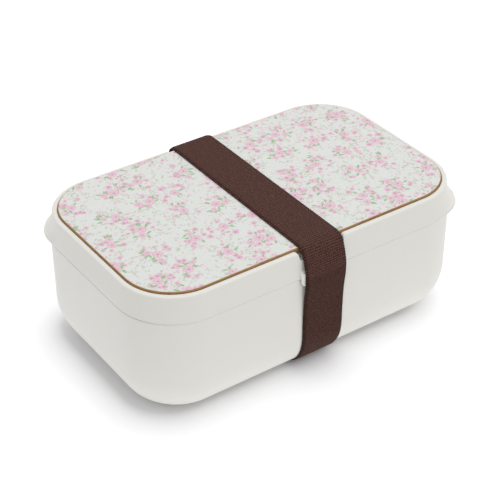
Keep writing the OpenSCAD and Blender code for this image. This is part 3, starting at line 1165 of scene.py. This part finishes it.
def make_band(material):
    """Woven webbing with ribs, yarn columns and scalloped selvedges, cut and overlapped under the base."""
    path = evenly(band_path(), WEAVE_STEP)
    middle = BAND_X + BAND_SHIFT
    half = BAND_W / 2
    last = len(path) - 1
    rings, along, across, tension = [], [], [], []
    for i, point in enumerate(path):
        ahead = (path[min(i + 1, last)] - path[max(i - 1, 0)]).normalized()
        out = Vector((ahead.y, -ahead.x)) * -1
        travelled = i * WEAVE_STEP
        rib = math.cos(2 * math.pi * travelled / RIB_PITCH)
        scallop = math.cos(2 * math.pi * travelled / SCALLOP_PITCH)
        wide = half - SCALLOP_DEPTH + SCALLOP_DEPTH * scallop
        section = [(-wide + inset, height) for inset, height in TURNED_EDGE]
        for k in range(2 * COLUMNS + 1):
            x = (k / 2 - COLUMNS / 2) * COLUMN_PITCH
            column = math.cos(math.pi * k)
            thick = WEB_T + RIB_RELIEF * rib + COLUMN_RELIEF * column + CROSSING_RELIEF * rib * column
            section.append((x, thick * mix(EDGE_SHARE, 1.0, ease((half - abs(x)) / EDGE_REACH))))
        section += [(wide - inset, height) for inset, height in TURNED_EDGE[::-1]]
        section += [(half * share, 0.0) for share in (0.6, 0.2, -0.2, -0.6)]
        rings.append([(middle + x, point.x + out.x * t, point.y + out.y * t) for x, t in section])
        # The share of taut yarn, which also carries the painted shade of the band's lower part
        pull = ease((CREASE_Z - point.y) / 1.2)
        along += [travelled] * len(section)
        across += [x for x, _ in section]
        tension += [pull] * len(section)
    nodes = ["elastic_band"]
    band = make_piece("band", [skin(rings)], material, None, nodes, 60, merge=False)
    for name, values in (("weave_along", along), ("weave_across", across), ("weave_tension", tension)):
        layer = band.data.attributes.new(name, "FLOAT", "POINT")
        layer.data.foreach_set("value", values)
    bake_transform(band)


def make_stitches(material):
    """Two rows of thread that hold the band's overlap together."""
    count, pitch, row, radius = 8, 2.8, 7.5, 0.22
    low = 0.2 + radius
    parts = []
    for y in (-row, row):
        for k in range(count):
            x = BAND_X + pitch * (k - (count - 1) / 2)
            route = [(-1.05, 0.5), (-0.95, 0.2), (-0.7, 0.05), (0, 0), (0.7, 0.05), (0.95, 0.2), (1.05, 0.5)]
            rings = []
            for i, (u, up) in enumerate(route):
                a, b = route[max(i - 1, 0)], route[min(i + 1, len(route) - 1)]
                ahead = Vector((b[0] - a[0], b[1] - a[1])).normalized()
                rings.append([
                    (
                        x + u - ahead.y * radius * math.cos(t),
                        y + radius * math.sin(t),
                        low + up + ahead.x * radius * math.cos(t),
                    )
                    for t in [2 * math.pi * j / 8 for j in range(8)]
                ])
            parts.append(skin(rings))
    make_piece("stitching", parts, material, "tub", ["band_stitches"], 60)


# ---- the divider

DIVIDER_X = (low_of("divider").x + high_of("divider").x) / 2
DIVIDER_LOW = low_of("divider").z
DIVIDER_TOP = high_of("divider").z
DIVIDER_HALF = high_of("divider").y
DIVIDER_T = 1.8
SCOOP_R, SCOOP_DEPTH = 30.0, 6.0


def make_divider(material):
    """A loose plate shaped to the tub's inside, with a finger scoop, rounded edges and a flat foot."""
    side = [
        (DIVIDER_HALF - inset, z)
        for inset, z in bottom_curve(0, DIVIDER_LOW, INNER_REACH, INNER_RISE, 14)
    ]
    corner = 2.0
    turns = [math.radians(a) for a in range(0, 91, 15)]
    side += [
        (DIVIDER_HALF - corner * (1 - math.cos(a)), DIVIDER_TOP - corner * (1 - math.sin(a))) for a in turns
    ]
    middle_z = DIVIDER_TOP + SCOOP_R - SCOOP_DEPTH
    reach = math.degrees(math.acos((SCOOP_R - SCOOP_DEPTH) / SCOOP_R))
    angles = [math.radians(mix(reach, 0, i / 10)) for i in range(11)]
    side += [(SCOOP_R * math.sin(a), middle_z - SCOOP_R * math.cos(a)) for a in angles]
    outline = [Vector(p) for p in side + [(-y, z) for y, z in side[-2::-1]]]
    count = len(outline)
    rings = []
    for x, inset in ((-0.5, 0.35), (-0.45, 0.15), (-0.3, 0), (0.3, 0), (0.45, 0.15), (0.5, 0.35)):
        ring = []
        for i, p in enumerate(outline):
            ahead = (outline[(i + 1) % count] - outline[i - 1]).normalized()
            inward = Vector((-ahead.y, ahead.x))
            ring.append((DIVIDER_X + x * DIVIDER_T, p.x + inward.x * inset, p.y + inward.y * inset))
        rings.append(ring)
    half, thick, length = 6.0, 1.6, DIVIDER_HALF - INNER_REACH
    right = [(half - 0.4, 0), (half, 0.4), (half, thick - 0.5), (half - 0.5, thick), (2.0, thick)]
    right += [(1.3, thick + 0.35), (0.95, thick + 1.2), (0.4, thick + 1.4)]
    section = right + [(-x, z) for x, z in right[::-1]]
    foot = [
        [(DIVIDER_X + x * share, y, DIVIDER_LOW + z * share) for x, z in section]
        for y, share in ((-length, 0.86), (-length + 0.4, 1), (length - 0.4, 1), (length, 0.86))
    ]
    parts = [skin(rings), skin(foot)]
    make_piece("divider_plate", parts, material, "divider", ["divider"])


# ---- the scene

shell_plastic = moulded_plastic("shell_plastic", SHELL_COLOUR, SHELL_ROUGHNESS)
make_tub(shell_plastic)
make_lid(shell_plastic)
make_seal(silicone("seal_silicone"))
make_adhesive(adhesive_film("panel_adhesive"))
make_panel(stained_wood("panel_wood"))
make_print(printed_face("printed_face"))
make_band(woven_elastic("woven_elastic"))
make_stitches(sewing_thread("thread"))
make_divider(moulded_plastic("divider_plastic", DIVIDER_COLOUR, DIVIDER_ROUGHNESS))

make_camera()
make_floor()
make_light()
bpy.context.scene.view_settings.view_transform = "Standard"
